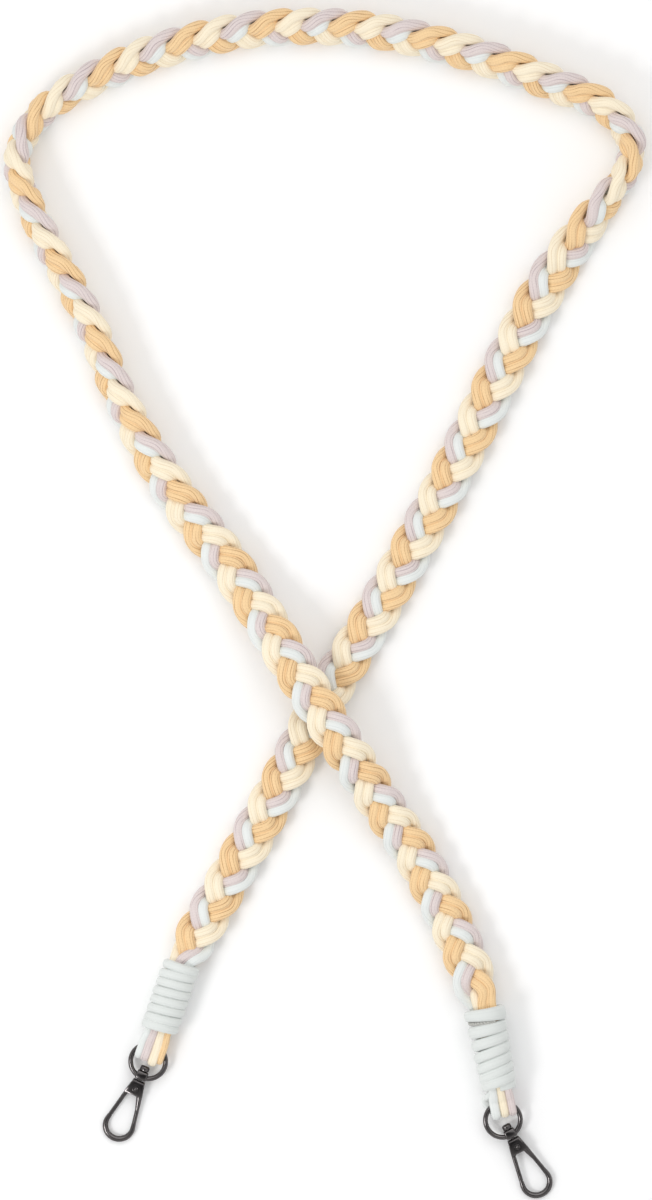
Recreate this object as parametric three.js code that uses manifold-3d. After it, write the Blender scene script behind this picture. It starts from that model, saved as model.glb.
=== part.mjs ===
// A crossbody strap of braided cord, lying flat as one big loop whose two ends cross once.
// Each end goes into a wound whipping, and loops of cord hold a ring with a swivel snap hook.
// Millimetres, +Z up, the loop's round end towards +Y.
import * as THREE from 'three';
import { mergeVertices } from 'three/addons/utils/BufferGeometryUtils.js';
import Module from 'manifold-3d';

// The whole strap as it lies
const loopWidth = 248;          // left to right over the big loop
const loopLength = 460;         // top of the loop to the lower hook's tip
const clearance = 0.3;          // between neighbouring pieces

// The braid: three strands, each a pair of cords side by side
const braidSwing = 5.34;        // how far a strand's middle swings to each side
const braidRise = 3.84;         // how far it rises and dips
const braidPitch = 33;          // one full repeat of a strand
const swingOvertone = -0.11;
const riseOvertone = -0.064;
const strandTilt = -0.17;       // radians, the strand's roll where it crosses the middle
const tiltOvertone = 0.27;
const strandHalfWidth = 3.05;
const strandHalfHeight = 1.07;
const strandTurnSteps = 8;      // sections in one full repeat
const lineSteps = 60;           // steps in which each stretch of the middle line is measured
const braidHalfWidth = 8.6;
const braidHalfHeight = 5.45;
const bundleSwing = 0.28;       // share of the swing left inside a whipping
const bundleRise = 0.85;        // share of the rise left inside a whipping
const straightenLength = 3;     // before that, over which they turn parallel
const gatherLength = 6;         // over which the strands draw together at a whipping

// Whippings
const whipLength = 32.2;
const whipRadius = 7.9;
const whipTurns = 8;
const whipBore = 6.05;          // radius round the bundled cords
const whipGroove = 0.5;
const whipSides = 12;
const strandSeat = 13;          // how deep the strands reach into a whipping

// Cord loops that hold the rings
const legSeat = 0.5;            // share of a whipping's length that the loops' legs fill
const legStart = 0.6;           // how far past a whipping its loops' legs stay level
const loopEase = 1.8;           // clearances between a loop and the ring's wire
const loopSteps = 12;           // sections in one loop
const cordHalfHeight = 1.4;
const bundledCord = 0.85;       // share of a cord's size left where it is bound

// Ring, swivel and snap hook, along the hook's own axis from the ring's middle
const ringReach = 12.4;         // whipping's end to the ring's middle
const ringRadius = 6.75;
const ringWire = 0.95;
const ringHeight = 4.4;         // of the wire's middle where the cords hold it
const hookTilt = 5.2;           // degrees down towards the tip
const bossStart = 4.3;
const bossEnd = 7.9;
const bossWidth = 5.4;
const bossHeight = 4.0;
const bossWaist = 0.85;         // share of its width at its two ends
const bossShoulder = 1.1;       // where it is widest
const bossRound = 0.4;
const postRadius = 0.85;
const headRadius = 1.8;
const headHeight = 1.6;
const headTaper = 0.6;
const headStart = bossStart - clearance - headHeight;
const plateStart = bossEnd + clearance;
const plateLength = 6;
const plateTopWidth = 4.65;
const plateEndWidth = 7.2;
const plateHeight = 3.2;
const plateRound = 0.3;
const plateEnd = plateStart + plateLength;
const bowlReach = 19.1;         // plate's start to the bowl's middle
const bowlRadius = 6.35;
const hookWire = 2.0;
const sideWire = 1.6;
const wireRound = 0.45;
const pivot = plateStart + 3.5;
const rivetRadius = 0.75;
const rivetHead = 1.15;
const rivetProud = 0.35;
const gateReach = 13.7;         // rivet to the gate's free end
const gateEye = 1.7;            // radius of the gate's root round the rivet
const slotHeight = 1.5;
const slotDepth = 4.5;          // how far the slot goes up from the plate's end

// The braid's count of turns at its two mouths, where the three strands bundle evenly
const leftMouth = -47 / 12;
const rightMouth = 315 / 12;

// The braid's middle line from the left whipping round to the right one.
// across and along are shares of the loop's width and length, roll is the ribbon's turn about its
// own run in degrees, lift is in braid heights above lying flat, turns counts the plait's repeats.
const route = [
  { across: -0.248, along: -0.338, roll: 0, lift: 0.17, turns: leftMouth },
  { across: -0.221, along: -0.302, roll: 0, lift: 0.17, turns: leftMouth },
  { across: -0.2055, along: -0.2864, roll: 0, lift: 0.12, turns: leftMouth },
  { across: -0.176, along: -0.258, roll: 0, lift: 0.05, turns: -3.45 },
  { across: -0.127, along: -0.211, roll: 0, lift: 0.00, turns: -2.74 },
  { across: -0.059, along: -0.143, roll: 0, lift: 0.00, turns: -1.70 },
  { across: 0.001, along: -0.080, roll: 0, lift: 0.00, turns: -0.74 },
  { across: 0.081, along: -0.008, roll: 0, lift: 0.00, turns: 0.39 },
  { across: 0.156, along: 0.065, roll: 0, lift: 0.00, turns: 1.53 },
  { across: 0.227, along: 0.140, roll: 0, lift: 0.00, turns: 2.67 },
  { across: 0.295, along: 0.215, roll: 0, lift: 0.00, turns: 3.76 },
  { across: 0.338, along: 0.260, roll: 12, lift: 0.00, turns: 4.41 },
  { across: 0.380, along: 0.295, roll: 31, lift: 0.00, turns: 4.95 },
  { across: 0.416, along: 0.322, roll: 52, lift: 0.00, turns: 5.40 },
  { across: 0.444, along: 0.342, roll: 72, lift: 0.00, turns: 5.75 },
  { across: 0.467, along: 0.360, roll: 88, lift: 0.00, turns: 6.05 },
  { across: 0.475, along: 0.384, roll: 103, lift: 0.00, turns: 6.42 },
  { across: 0.441, along: 0.411, roll: 114, lift: 0.00, turns: 6.94 },
  { across: 0.350, along: 0.434, roll: 123, lift: 0.00, turns: 7.75 },
  { across: 0.205, along: 0.462, roll: 125, lift: 0.00, turns: 8.94 },
  { across: 0.054, along: 0.479, roll: 125, lift: 0.00, turns: 10.16 },
  { across: -0.103, along: 0.479, roll: 125, lift: 0.00, turns: 11.43 },
  { across: -0.255, along: 0.461, roll: 125, lift: 0.00, turns: 12.62 },
  { across: -0.341, along: 0.442, roll: 120, lift: 0.00, turns: 13.33 },
  { across: -0.409, along: 0.422, roll: 110, lift: 0.00, turns: 13.89 },
  { across: -0.445, along: 0.406, roll: 102, lift: 0.00, turns: 14.23 },
  { across: -0.467, along: 0.388, roll: 93, lift: 0.00, turns: 14.54 },
  { across: -0.478, along: 0.368, roll: 85, lift: 0.00, turns: 14.86 },
  { across: -0.465, along: 0.341, roll: 75, lift: 0.00, turns: 15.27 },
  { across: -0.436, along: 0.306, roll: 68, lift: 0.00, turns: 15.78 },
  { across: -0.370, along: 0.239, roll: 62, lift: 0.00, turns: 16.83 },
  { across: -0.310, along: 0.162, roll: 58, lift: 0.00, turns: 17.97 },
  { across: -0.232, along: 0.090, roll: 31, lift: 0.00, turns: 19.10 },
  { across: -0.157, along: 0.037, roll: 10, lift: 0.05, turns: 20.05 },
  { across: -0.105, along: -0.005, roll: 0, lift: 0.35, turns: 20.76 },
  { across: -0.056, along: -0.048, roll: 0, lift: 0.98, turns: 21.48 },
  { across: -0.015, along: -0.083, roll: 0, lift: 1.08, turns: 22.09 },
  { across: 0.027, along: -0.119, roll: 0, lift: 1.04, turns: 22.67 },
  { across: 0.082, along: -0.165, roll: 0, lift: 0.36, turns: 23.45 },
  { across: 0.146, along: -0.217, roll: 0, lift: 0.00, turns: 24.40 },
  { across: 0.202, along: -0.277, roll: 0, lift: 0.03, turns: 25.42 },
  { across: 0.231, along: -0.316, roll: 0, lift: 0.13, turns: 26.05 },
  { across: 0.2395, along: -0.3305, roll: 0, lift: 0.18, turns: rightMouth },
  { across: 0.246, along: -0.341, roll: 0, lift: 0.22, turns: rightMouth },
  { across: 0.257, along: -0.374, roll: 0, lift: 0.22, turns: rightMouth },
];

// The two ends. heading and hookHeading are in degrees from +X. The rest are shares: length, radius
// and endRadius of the whipping's sizes, reach of ringReach, and offset, to the side, of ringRadius.
const ends = [
  { side: 'left', across: -0.221, along: -0.302, heading: -109.2, hookHeading: -114.4,
    length: 0.876, radius: 0.924, endRadius: 0.924, reach: 1, offset: 0 },
  { side: 'right', across: 0.246, along: -0.3395, heading: -79, hookHeading: -61.9,
    length: 1, radius: 1, endRadius: 0.899, reach: 0.976, offset: -0.133 },
];

// Cord loops. place, bound and back are shares of the ring's radius across the loop's run: at the
// ring, inside the whipping and for the leg behind the ring. drop is the reach past the whipping in
// shares of the ring's own, girth is half the cord's width as a share of its half height.
const loops = [
  { side: 'left', cord: 'white', place: -0.61, bound: -0.52, back: -0.61, drop: 1.00, girth: 0.86 },
  { side: 'left', cord: 'mauve', place: -0.203, bound: -0.175, back: -0.203, drop: 1.02, girth: 0.86 },
  { side: 'left', cord: 'cream', place: 0.203, bound: 0.175, back: 0.203, drop: 1.10, girth: 0.86 },
  { side: 'left', cord: 'tan', place: 0.61, bound: 0.52, back: 0.61, drop: 1.00, girth: 0.86 },
  { side: 'right', cord: 'white', place: -0.67, bound: -0.41, back: -0.74, drop: 0.96, girth: 1.08 },
  { side: 'right', cord: 'cream', place: -0.13, bound: 0.02, back: -0.13, drop: 0.93, girth: 1.08 },
  { side: 'right', cord: 'mauve', place: 0.41, bound: 0.44, back: 0.41, drop: 0.94, girth: 1.08 },
];

// Faces round the small parts
const wireSides = 6;
const ringSides = 18;
const bowlSteps = 12;
const pinSides = 10;
const arcSides = 48;

const looks = {
  tan: { color: '#f0c78d', roughness: 0.85, metalness: 0 },
  cream: { color: '#fbefd0', roughness: 0.85, metalness: 0 },
  mauve: { color: '#dccfd0', roughness: 0.85, metalness: 0 },
  white: { color: '#e8efee', roughness: 0.85, metalness: 0 },
  gunmetal: { color: '#5a5254', roughness: 0.3, metalness: 1 },
};

const wasm = await Module();
wasm.setup();
const up = new THREE.Vector3(0, 0, 1);
const fullTurn = 2 * Math.PI;
const oneDegree = Math.PI / 180;

// A closed geometry as a solid that can be joined and cut, and back again.
function toSolid(geometry) {
  const bare = geometry.index ? geometry.clone() : geometry;
  bare.deleteAttribute('normal');
  bare.deleteAttribute('uv');
  const merged = mergeVertices(bare, 1e-4);
  return new wasm.Manifold(new wasm.Mesh({
    numProp: 3,
    vertProperties: new Float32Array(merged.attributes.position.array),
    triVerts: new Uint32Array(merged.index.array),
  }));
}

function toGeometry(solid) {
  const mesh = solid.getMesh();
  const geometry = new THREE.BufferGeometry();
  geometry.setAttribute('position', new THREE.BufferAttribute(mesh.vertProperties, 3));
  geometry.setIndex(new THREE.BufferAttribute(mesh.triVerts, 1));
  return geometry;
}

function piece(name, geometry, look) {
  const mesh = new THREE.Mesh(geometry, new THREE.MeshStandardMaterial(looks[look]));
  mesh.name = name;
  return mesh;
}

// A six-sided section of a cord or of a pair of cords.
function cordSection(halfWidth, halfHeight) {
  const flat = halfWidth / 2;
  return new THREE.Shape([
    new THREE.Vector2(halfWidth, 0), new THREE.Vector2(flat, halfHeight),
    new THREE.Vector2(-flat, halfHeight), new THREE.Vector2(-halfWidth, 0),
    new THREE.Vector2(-flat, -halfHeight), new THREE.Vector2(flat, -halfHeight),
  ]);
}

// Extrudes the section and carries each of its stations to its own place, sides and size.
function sweep(section, stations) {
  const steps = stations.length - 1;
  const geometry = new THREE.ExtrudeGeometry(section, { depth: 1, steps, bevelEnabled: false });
  const spots = geometry.attributes.position;
  const spot = new THREE.Vector3();
  for (let i = 0; i < spots.count; i += 1) {
    const station = stations[Math.round(spots.getZ(i) * steps)];
    spot.copy(station.middle)
      .addScaledVector(station.across, spots.getX(i) * station.size)
      .addScaledVector(station.rise, spots.getY(i) * station.size);
    spots.setXYZ(i, spot.x, spot.y, spot.z);
  }
  return mergeSweep(geometry);
}

function mergeSweep(geometry) {
  geometry.deleteAttribute('normal');
  geometry.deleteAttribute('uv');
  return mergeVertices(geometry, 1e-4);
}

// Half the height of the braid when its ribbon is rolled: where its middle line lies above the floor.
function standingHeight(row) {
  const roll = row.roll * oneDegree;
  const flat = Math.hypot(braidHalfWidth * Math.sin(roll), braidHalfHeight * Math.cos(roll));
  return flat + row.lift * 2 * braidHalfHeight;
}

function placeOf(row) {
  return new THREE.Vector3(row.across * loopWidth, row.along * loopLength, standingHeight(row));
}

const middleLine = new THREE.CatmullRomCurve3(
  route.map((row) => placeOf(row)),
  false, 'centripetal',
);
middleLine.arcLengthDivisions = route.length * lineSteps;
const runLength = middleLine.getLength();
const rowRuns = runsOfRows();

// How far along the middle line each row of the route comes.
function runsOfRows() {
  const lengths = middleLine.getLengths();
  const perRow = middleLine.arcLengthDivisions / (route.length - 1);
  return route.map((row, i) => {
    const place = i * perRow;
    const low = Math.min(Math.floor(place), lengths.length - 2);
    return lengths[low] + (lengths[low + 1] - lengths[low]) * (place - low);
  });
}

// A column of the route at a distance along the line, or the distance at a count of turns.
function between(xs, ys, x) {
  let i = 1;
  while (i < xs.length - 1 && xs[i] < x) i += 1;
  const span = xs[i] - xs[i - 1];
  const share = span > 0 ? Math.min(Math.max((x - xs[i - 1]) / span, 0), 1) : 0;
  return ys[i - 1] + (ys[i] - ys[i - 1]) * share;
}

const rolls = route.map((row) => row.roll);
const turnCounts = route.map((row) => row.turns);
const mouths = [rowRuns[1], rowRuns[rowRuns.length - 2]];

// The ribbon's own directions at a distance along the line.
function ribbonAt(run) {
  const share = Math.min(Math.max(run / runLength, 0), 1);
  const middle = middleLine.getPointAt(share);
  const forward = middleLine.getTangentAt(share);
  const left = up.clone().cross(forward).normalize();
  const over = forward.clone().cross(left);
  const roll = between(rowRuns, rolls, run) * oneDegree;
  return {
    middle, forward,
    across: left.clone().multiplyScalar(Math.cos(roll)).addScaledVector(over, Math.sin(roll)),
    face: left.clone().multiplyScalar(-Math.sin(roll)).addScaledVector(over, Math.cos(roll)),
  };
}

// 0 in the open braid and 1 where the strands are bundled in a whipping.
function gathered(run, length) {
  const inside = Math.max(mouths[0] - run, run - mouths[1]);
  const share = Math.min(Math.max((inside + length) / length, 0), 1);
  return share * share * (3 - 2 * share);
}

// One section of a strand. shift is the strand's third of a turn.
function strandStation(run, shift) {
  const ribbon = ribbonAt(run);
  const turn = fullTurn * (between(rowRuns, turnCounts, run) + shift);
  const bundled = gathered(run, gatherLength);
  const straightened = gathered(run, gatherLength + straightenLength);
  const swing = 1 + (bundleSwing - 1) * bundled;
  const rise = 1 + (bundleRise - 1) * bundled;
  const side = swing * (braidSwing * Math.sin(turn) + swingOvertone * Math.sin(3 * turn));
  const height = rise * (braidRise * Math.sin(2 * turn) + riseOvertone * Math.sin(4 * turn));
  const rate = (1 - straightened) * fullTurn / braidPitch;
  const slope = new THREE.Vector3(
    rate * (braidSwing * Math.cos(turn) + 3 * swingOvertone * Math.cos(3 * turn)),
    rate * (2 * braidRise * Math.cos(2 * turn) + 4 * riseOvertone * Math.cos(4 * turn)), 1,
  ).normalize();
  const flat = new THREE.Vector3(slope.z, 0, -slope.x).normalize();
  const top = slope.clone().cross(flat);
  const tilt = (1 - straightened) * (strandTilt * Math.cos(turn) + tiltOvertone * Math.cos(3 * turn));
  const own = flat.clone().multiplyScalar(Math.cos(tilt)).addScaledVector(top, Math.sin(tilt));
  const ownTop = flat.multiplyScalar(-Math.sin(tilt)).addScaledVector(top, Math.cos(tilt));
  const toWorld = (v) => ribbon.across.clone().multiplyScalar(v.x)
    .addScaledVector(ribbon.face, v.y).addScaledVector(ribbon.forward, v.z);
  return {
    middle: ribbon.middle.clone().addScaledVector(ribbon.across, side).addScaledVector(ribbon.face, height),
    across: toWorld(own), rise: toWorld(ownTop), size: 1,
  };
}

// Sections come at equal steps of the strand's own turn, so that every repeat has the same form.
function strand(name, look, shift) {
  const insets = [-strandSeat, -1, gatherLength / 2, gatherLength];
  const runs = insets.map((inset) => mouths[0] + inset);
  const firstStep = Math.ceil((turnCounts[1] + shift) * strandTurnSteps + 0.3);
  const lastStep = Math.floor((turnCounts[turnCounts.length - 2] + shift) * strandTurnSteps - 0.3);
  for (let step = firstStep; step <= lastStep; step += 1) {
    runs.push(between(turnCounts, rowRuns, step / strandTurnSteps - shift));
  }
  insets.reverse().forEach((inset) => runs.push(mouths[1] - inset));
  const section = cordSection(strandHalfWidth, strandHalfHeight);
  return piece(name, sweep(section, runs.map((run) => strandStation(run, shift))), look);
}

// A whipping: cord wound round the bundle, with a groove between the turns.
function whipping(end) {
  const long = end.length * whipLength;
  const first = end.radius * whipRadius;
  const last = end.endRadius * whipRadius;
  const profile = [new THREE.Vector2(whipBore, 0)];
  for (let i = 0; i < whipTurns; i += 1) {
    const outer = first + (last - first) * i / (whipTurns - 1);
    const start = long * i / whipTurns;
    profile.push(new THREE.Vector2(outer - whipGroove, start));
    profile.push(new THREE.Vector2(outer, start + long / whipTurns / 2));
  }
  profile.push(new THREE.Vector2(last - whipGroove, long));
  profile.push(new THREE.Vector2(whipBore, long));
  profile.push(profile[0].clone());
  const geometry = new THREE.LatheGeometry(profile, whipSides);
  geometry.rotateZ(-Math.PI / 2);
  return piece(`whipping_${end.side}`, mergeSweep(geometry), 'white');
}

// One loop of cord, out over the ring, round under it and back. The end's own frame: X outwards
// from the whipping's outer end, Y to the side, Z up, with the whipping's middle at height 0.
function cordLoop(end, row) {
  const place = row.place * ringRadius;
  const back = row.back * ringRadius;
  const bound = row.bound * ringRadius;
  const wire = ringHeight - end.radius * whipRadius;
  const reach = ringWire + loopEase * clearance + cordHalfHeight;
  const drop = row.drop * end.reach * ringReach - cordHalfHeight;
  const seat = -legSeat * end.length * whipLength;
  const legRise = cordHalfHeight * bundledCord + 1.5 * clearance;
  const path = new THREE.CatmullRomCurve3([
    new THREE.Vector3(seat, bound, legRise),
    new THREE.Vector3(legStart, bound, legRise),
    new THREE.Vector3(drop * 0.45, place, wire + reach + 0.2),
    new THREE.Vector3(drop - reach, place, wire + reach),
    new THREE.Vector3(drop - 0.3 * reach, place, wire + 0.72 * reach),
    new THREE.Vector3(drop, place, wire),
    new THREE.Vector3(drop - 0.3 * reach, place, wire - 0.72 * reach),
    new THREE.Vector3(drop - reach, (place + back) / 2, wire - reach),
    new THREE.Vector3(drop * 0.33, back, wire - reach + 0.1),
    new THREE.Vector3(legStart, bound, -legRise),
    new THREE.Vector3(seat, bound, -legRise),
  ], false, 'centripetal');
  const sideways = new THREE.Vector3(0, 1, 0);
  const stations = [];
  for (let i = 0; i <= loopSteps; i += 1) {
    const middle = path.getPoint(i / loopSteps);
    const forward = path.getTangent(i / loopSteps);
    const across = sideways.clone().addScaledVector(forward, -sideways.dot(forward)).normalize();
    const inside = Math.min(Math.max(1 - middle.x / 3, 0), 1);
    stations.push({ middle, across, rise: forward.cross(across), size: 1 + (bundledCord - 1) * inside });
  }
  const section = cordSection(row.girth * cordHalfHeight, cordHalfHeight);
  return piece(`cord_loop_${end.side}_${row.cord}`, sweep(section, stations), row.cord);
}

// The ring with the boss that the swivel post goes through, X along the hook's axis.
function ring(end) {
  const wire = [];
  for (let i = 0; i <= wireSides; i += 1) {
    const angle = fullTurn * (i % wireSides) / wireSides;
    wire.push(new THREE.Vector2(ringRadius + ringWire * Math.cos(angle), ringWire * Math.sin(angle)));
  }
  const hoop = new THREE.LatheGeometry(wire, ringSides);
  hoop.rotateX(Math.PI / 2);
  const half = bossWidth / 2;
  const boss = outline([
    [bossStart, -bossWaist * half], [bossStart + bossShoulder, -half], [bossEnd, -bossWaist * half],
    [bossEnd, bossWaist * half], [bossStart + bossShoulder, half], [bossStart, bossWaist * half],
  ]);
  const bore = postRadius + clearance;
  const hole = new THREE.CylinderGeometry(bore, bore, bossEnd, pinSides);
  hole.rotateZ(Math.PI / 2);
  hole.translate(bossEnd, 0, 0);
  const solid = toSolid(hoop).add(slab(boss, bossHeight, bossRound)).subtract(toSolid(hole));
  return piece(`ring_${end.side}`, toGeometry(solid), 'gunmetal');
}

function outline(points) {
  return new THREE.Shape(points.map(([x, y]) => new THREE.Vector2(x, y)));
}

// Outline of a teardrop from its straight start round its bowl.
function teardrop(start, startHalf, radius) {
  const bowl = plateStart + bowlReach;
  const shape = new THREE.Shape();
  const slant = Math.asin((radius - startHalf) / (bowl - start));
  shape.moveTo(start, -startHalf);
  for (let i = 0; i <= bowlSteps; i += 1) {
    const angle = -Math.PI / 2 - slant + (Math.PI + 2 * slant) * i / bowlSteps;
    shape.lineTo(bowl + radius * Math.cos(angle), radius * Math.sin(angle));
  }
  shape.lineTo(start, startHalf);
  shape.closePath();
  return shape;
}

function slab(shape, height, round) {
  const geometry = new THREE.ExtrudeGeometry(shape, {
    depth: height - 2 * round, steps: 1, bevelEnabled: round > 0,
    bevelThickness: round, bevelSize: round, bevelOffset: -round, bevelSegments: 1,
  });
  geometry.translate(0, 0, -height / 2 + round);
  return toSolid(geometry);
}

function upright(radius, height, x, sides) {
  const geometry = new THREE.CylinderGeometry(radius, radius, height, sides);
  geometry.rotateX(Math.PI / 2);
  geometry.translate(x, 0, 0);
  return toSolid(geometry);
}

function box(x0, x1, y0, y1, z0, z1) {
  const geometry = new THREE.BoxGeometry(x1 - x0, y1 - y0, z1 - z0);
  geometry.translate((x0 + x1) / 2, (y0 + y1) / 2, (z0 + z1) / 2);
  return toSolid(geometry);
}

// The teardrop wire with both of its sides, from the plate's start round the bowl.
function teardropWire() {
  const frame = teardrop(plateStart, plateTopWidth / 2, bowlRadius);
  const hollow = teardrop(plateEnd, plateEndWidth / 2 - sideWire, bowlRadius - hookWire);
  frame.holes.push(new THREE.Path(hollow.getPoints()));
  return slab(frame, hookWire, wireRound);
}

// The side bar that opens, from below the plate to the bowl's nose, is cut by an arc about the rivet.
function gateRegion(reach, top) {
  const far = plateStart + bowlReach + bowlRadius;
  return upright(reach, 2 * hookWire, pivot, arcSides)
    .intersect(box(top, far, -2 * bowlRadius, -clearance, -hookWire, hookWire));
}

// A rivet's two heads, left clear of the plate's inside.
function rivetHeads() {
  const inner = plateHeight / 2 - plateRound;
  return upright(rivetHead, plateHeight + 2 * rivetProud, pivot, pinSides)
    .subtract(box(pivot - bowlRadius, pivot + bowlRadius, -bowlRadius, bowlRadius, -inner, inner));
}

// The post that turns in the ring's boss, with its head inside the ring.
function swivelPost() {
  const root = plateStart + plateRound - headStart;
  const post = new THREE.LatheGeometry([
    new THREE.Vector2(0, 0), new THREE.Vector2(headRadius * headTaper, 0),
    new THREE.Vector2(headRadius, headHeight * (1 - headTaper)), new THREE.Vector2(headRadius, headHeight),
    new THREE.Vector2(postRadius, headHeight), new THREE.Vector2(postRadius, root),
    new THREE.Vector2(0, root),
  ], pinSides);
  post.rotateZ(-Math.PI / 2);
  post.translate(headStart, 0, 0);
  return toSolid(post);
}

function hookBody(end) {
  const plate = outline([
    [plateStart, -plateTopWidth / 2], [plateEnd, -plateEndWidth / 2],
    [plateEnd, plateEndWidth / 2], [plateStart, plateTopWidth / 2],
  ]);
  const slotSide = plateEndWidth / 2 - sideWire;
  const slotHalf = slotHeight / 2;
  const slotStart = plateEnd - slotDepth;
  const slot = box(slotStart, plateEnd + hookWire, -plateEndWidth, slotSide, -slotHalf, slotHalf);
  const solid = teardropWire()
    .subtract(gateRegion(gateReach + clearance, plateEnd))
    .add(slab(plate, plateHeight, plateRound))
    .subtract(slot)
    .add(upright(rivetRadius, plateHeight, pivot, pinSides))
    .add(rivetHeads())
    .add(swivelPost());
  return piece(`hook_${end.side}`, toGeometry(solid), 'gunmetal');
}

// The gate: a side bar with a flat root that turns on the rivet inside the plate's slot.
function gate(end) {
  const bar = teardropWire().intersect(gateRegion(gateReach, plateEnd + clearance));
  const foot = plateEnd + 4 * clearance;
  const half = plateEndWidth / 2;
  const root = outline([
    [pivot - 0.7 * gateEye, -0.7 * gateEye], [pivot, -gateEye], [foot, -half], [foot, sideWire - half],
    [pivot + 0.8 * gateEye, 0.3 * gateEye], [pivot + 0.5 * gateEye, 0.8 * gateEye],
    [pivot, gateEye], [pivot - 0.7 * gateEye, 0.7 * gateEye], [pivot - gateEye, 0],
  ]);
  const solid = bar.add(slab(root, slotHeight - 2 * clearance, 0))
    .subtract(upright(rivetRadius + clearance, hookWire, pivot, pinSides + 2));
  return piece(`gate_${end.side}`, toGeometry(solid), 'gunmetal');
}

// One end of the strap: whipping and loops along its heading, ring and hook along theirs.
function strapEnd(end) {
  const group = new THREE.Group();
  group.position.set(end.across * loopWidth, end.along * loopLength, end.radius * whipRadius);
  group.rotation.z = end.heading * oneDegree;
  group.add(whipping(end));
  const outer = new THREE.Group();
  outer.position.x = end.length * whipLength;
  loops.filter((row) => row.side === end.side).forEach((row) => outer.add(cordLoop(end, row)));
  const hardware = new THREE.Group();
  const ringDrop = ringRadius * Math.sin(hookTilt * oneDegree);
  const height = ringHeight - end.radius * whipRadius - ringDrop;
  hardware.position.set(end.reach * ringReach, end.offset * ringRadius, height);
  hardware.rotation.order = 'ZYX';
  hardware.rotation.z = (end.hookHeading - end.heading) * oneDegree;
  hardware.rotation.y = hookTilt * oneDegree;
  hardware.add(ring(end), hookBody(end), gate(end));
  outer.add(hardware);
  group.add(outer);
  return group;
}

const strap = new THREE.Group();
strap.add(strand('braid_strand_tan', 'tan', 0));
strap.add(strand('braid_strand_cream', 'cream', 1 / 3));
strap.add(strand('braid_strand_mauve_white', 'mauve', 2 / 3));
ends.forEach((end) => strap.add(strapEnd(end)));

// The origin is under the middle of the strap, on the floor.
strap.updateMatrixWorld(true);
const extent = new THREE.Box3().setFromObject(strap, true);
const centre = extent.getCenter(new THREE.Vector3());
strap.position.set(-centre.x, -centre.y, -extent.min.z);

export default strap;
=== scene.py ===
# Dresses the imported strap: six woven cords in a flat plait, wound whippings, cord loops, rings and hooks.
import math

import bpy
import numpy as np
from mathutils import Matrix, Vector


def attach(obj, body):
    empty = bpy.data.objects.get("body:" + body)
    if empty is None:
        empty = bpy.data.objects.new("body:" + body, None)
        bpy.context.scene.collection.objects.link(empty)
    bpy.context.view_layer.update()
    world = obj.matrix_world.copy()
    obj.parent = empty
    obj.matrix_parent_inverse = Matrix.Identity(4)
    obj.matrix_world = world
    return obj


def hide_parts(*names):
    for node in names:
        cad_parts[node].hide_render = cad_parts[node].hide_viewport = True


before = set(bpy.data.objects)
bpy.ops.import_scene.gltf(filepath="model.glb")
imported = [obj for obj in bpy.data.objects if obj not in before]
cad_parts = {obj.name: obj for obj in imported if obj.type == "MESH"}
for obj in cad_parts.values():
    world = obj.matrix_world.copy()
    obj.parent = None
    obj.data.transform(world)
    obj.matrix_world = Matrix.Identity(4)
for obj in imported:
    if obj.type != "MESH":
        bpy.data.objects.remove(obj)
bpy.ops.object.select_all(action="DESELECT")
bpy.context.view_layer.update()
print("frame loaded")

# Sizes are in mm and angles in degrees, unless a note says otherwise
mm = 0.001
settle = Vector((0.31445, 1.13758, 0.2162))  # how far the solids were moved to centre them


# materials
def newMaterial(name):
    material = bpy.data.materials.new(name)
    material.use_nodes = True
    return material, material.node_tree, material.node_tree.nodes["Principled BSDF"]


def mathNode(tree, operation, first, second=None):
    node = tree.nodes.new("ShaderNodeMath")
    node.operation = operation
    for socket, value in zip(node.inputs, (first, second)):
        if value is None:
            continue
        if isinstance(value, (int, float)):
            socket.default_value = value
        else:
            tree.links.new(value, socket)
    return node.outputs[0]


def mixColour(tree, share, first, second):
    node = tree.nodes.new("ShaderNodeMix")
    node.data_type = "RGBA"
    for socket, value in ((node.inputs[0], share), (node.inputs[6], first), (node.inputs[7], second)):
        if isinstance(value, tuple):
            socket.default_value = (*value, 1)
        else:
            tree.links.new(value, socket)
    return node.outputs[2]


def noiseNode(tree, vector, scale, detail):
    noise = tree.nodes.new("ShaderNodeTexNoise")
    noise.inputs["Scale"].default_value = scale
    noise.inputs["Detail"].default_value = detail
    tree.links.new(vector, noise.inputs["Vector"])
    return noise.outputs["Fac"]


def bumpNode(tree, height, distance, strength):
    bump = tree.nodes.new("ShaderNodeBump")
    bump.inputs["Distance"].default_value = distance
    bump.inputs["Strength"].default_value = strength
    tree.links.new(height, bump.inputs["Height"])
    return bump.outputs[0]


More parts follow.
